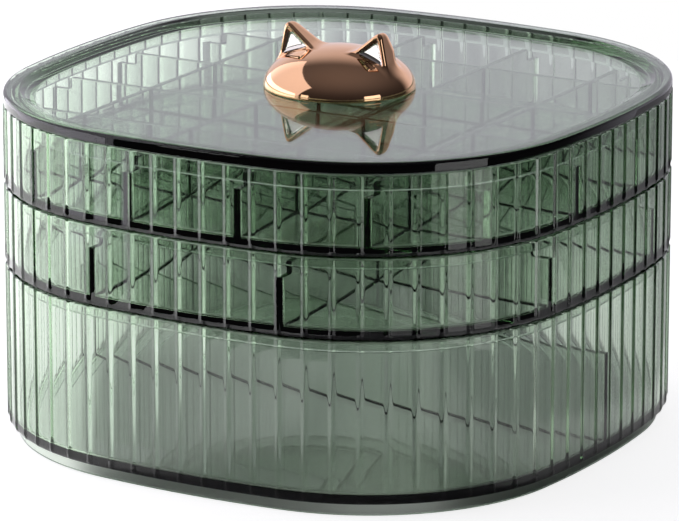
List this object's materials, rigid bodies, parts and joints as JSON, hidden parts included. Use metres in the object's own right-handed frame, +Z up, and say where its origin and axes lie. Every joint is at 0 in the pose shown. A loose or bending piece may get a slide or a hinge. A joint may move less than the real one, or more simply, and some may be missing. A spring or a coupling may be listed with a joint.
{
  "type": "acrylic jewelry box",
  "caption": "Stack of fluted, tinted clear trays with dividers, under a sunk lid with a metal-look knob that has two ears.",
  "frame": {"origin": "centre of the foot ring's underside, on the surface the box stands on", "axes": "+Z up, -Y towards the front that the knob's ears face, +X to the right seen from the front"},
  "size_m": [0.1906, 0.1906, 0.1255],
  "materials": {
    "tinted_acrylic": "clear grey-green acrylic, polished",
    "rose_gold": "mirror rose-gold plating over plastic",
    "screw_steel": "plain zinc-plated steel"
  },
  "bodies": {
    "lower_tray_body": {"lower_tray": "tinted_acrylic"},
    "middle_tray_body": {"middle_tray": "tinted_acrylic"},
    "upper_tray_body": {"upper_tray": "tinted_acrylic"},
    "lid_body": {"lid": "tinted_acrylic", "knob": "rose_gold", "knob_screw_left": "screw_steel", "knob_screw_right": "screw_steel"}
  },
  "joints": [
    {"name": "middle_tray_lift", "type": "slide", "parent": "lower_tray_body", "child": "middle_tray_body", "axis": [0, 0, 1], "range_m": [0, 0.06]},
    {"name": "upper_tray_lift", "type": "slide", "parent": "middle_tray_body", "child": "upper_tray_body", "axis": [0, 0, 1], "range_m": [0, 0.06]},
    {"name": "lid_lift", "type": "slide", "parent": "upper_tray_body", "child": "lid_body", "axis": [0, 0, 1], "range_m": [0, 0.06]}
  ]
}
